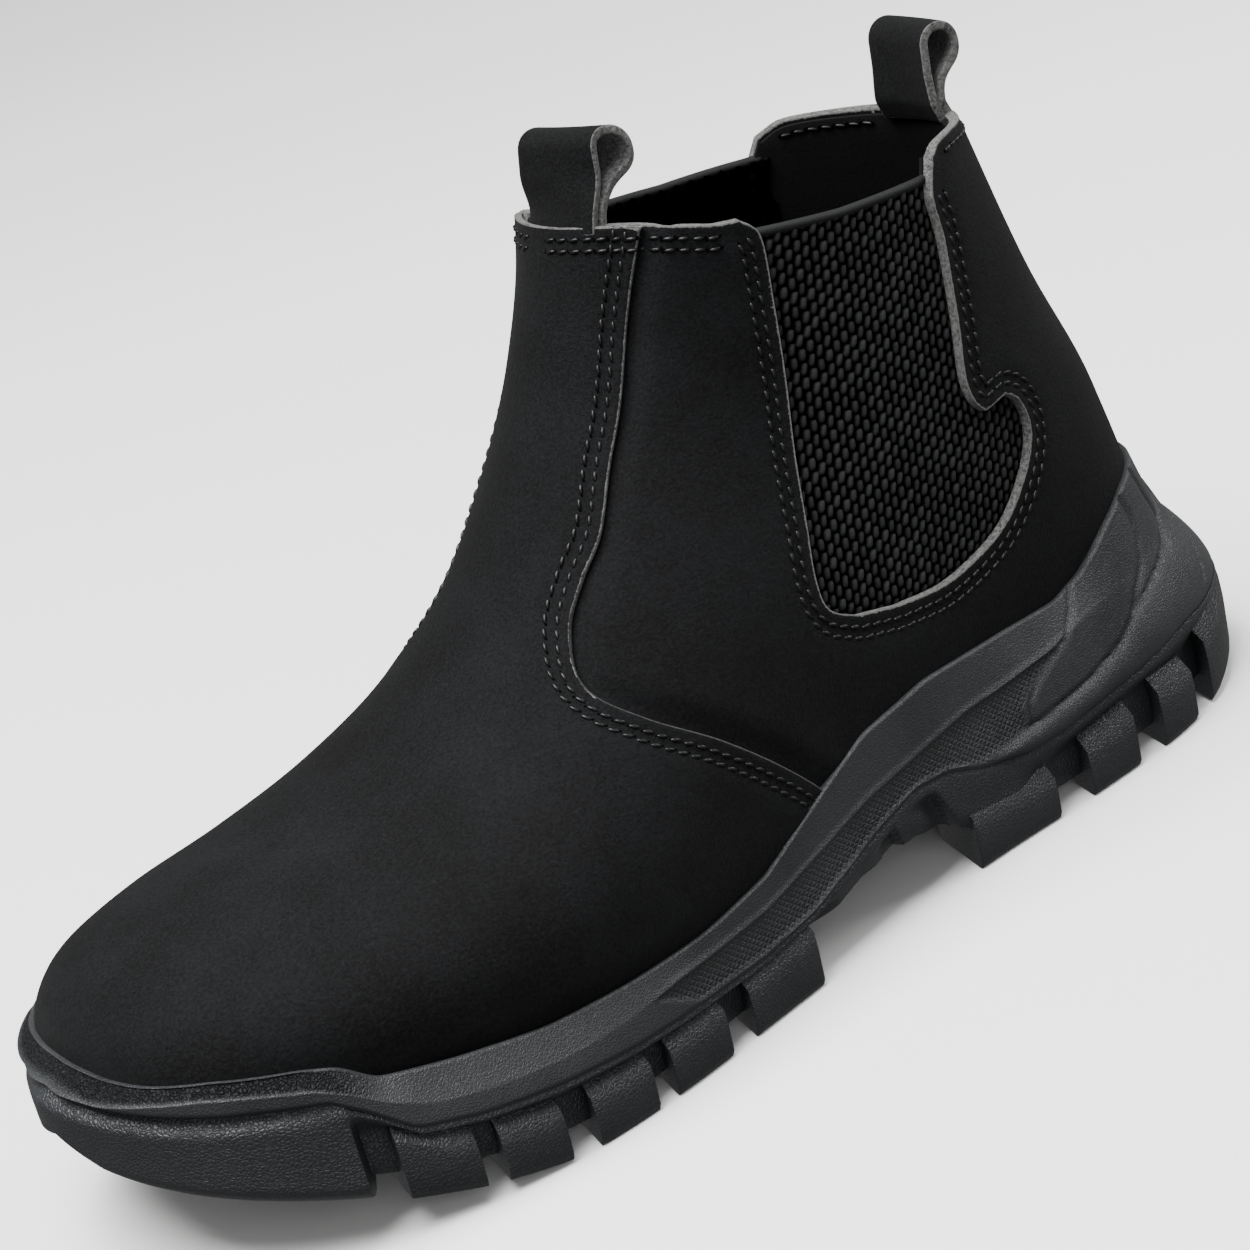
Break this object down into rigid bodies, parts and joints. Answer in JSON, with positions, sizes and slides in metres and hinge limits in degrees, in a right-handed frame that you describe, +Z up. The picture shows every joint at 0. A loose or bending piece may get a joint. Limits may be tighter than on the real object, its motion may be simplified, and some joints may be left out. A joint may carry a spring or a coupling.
{
  "type": "steel toe work boot",
  "caption": "Slip-on steel toe safety boot for the left foot with elastic side panels, pull tabs front and back, and a lugged sole.",
  "frame": {"origin": "on the floor, at the middle of the boot's bounding box seen from above", "axes": "-X towards the toe, +X towards the heel, -Y towards the outer (lateral) side of this left boot, +Z up"},
  "size_m": [0.3047, 0.1075, 0.1746],
  "materials": {
    "nubuck": "matte black nubuck-like leather, raw cut edges",
    "elastic": "black elastic webbing, ribbed",
    "textile_lining": "black textile lining",
    "polyurethane": "dark grey moulded polyurethane, fine grain",
    "rubber": "dark grey moulded rubber, leather grain on the lug faces",
    "steel": "pressed and painted-over carbon steel",
    "plastic_trim": "soft moulded plastic",
    "thermoplastic": "thermoplastic sheet, unpainted",
    "fibreboard": "pressed cellulose board",
    "cork": "cork granulate filler",
    "foam": "textile-covered foam"
  },
  "bodies": {
    "boot": {"vamp": "nubuck", "quarter_left": "nubuck", "quarter_right": "nubuck", "back_strip": "nubuck", "gore_left": "elastic", "gore_right": "elastic", "vamp_lining": "textile_lining", "quarter_lining_left": "textile_lining", "quarter_lining_right": "textile_lining", "steel_toe_cap": "steel", "toe_cap_trim": "plastic_trim", "heel_counter": "thermoplastic", "footbed": "foam", "insole_board": "fibreboard", "steel_shank": "steel", "bottom_filler": "cork", "midsole": "polyurethane", "outsole": "rubber"},
    "front_tab": {"front_pull_tab": "nubuck"},
    "rear_tab": {"rear_pull_tab": "nubuck"}
  },
  "joints": [
    {"name": "front_tab_bend", "type": "hinge", "parent": "boot", "child": "front_tab", "pos_m": [0.0102, 0.0003, 0.159], "axis": [0, 1, 0], "range_deg": [-75, 55], "stiffness_Nm_per_rad": 0.01},
    {"name": "rear_tab_bend", "type": "hinge", "parent": "boot", "child": "rear_tab", "pos_m": [0.1038, 0.0003, 0.1481], "axis": [0, 1, 0], "range_deg": [-70, 65], "stiffness_Nm_per_rad": 0.01}
  ]
}
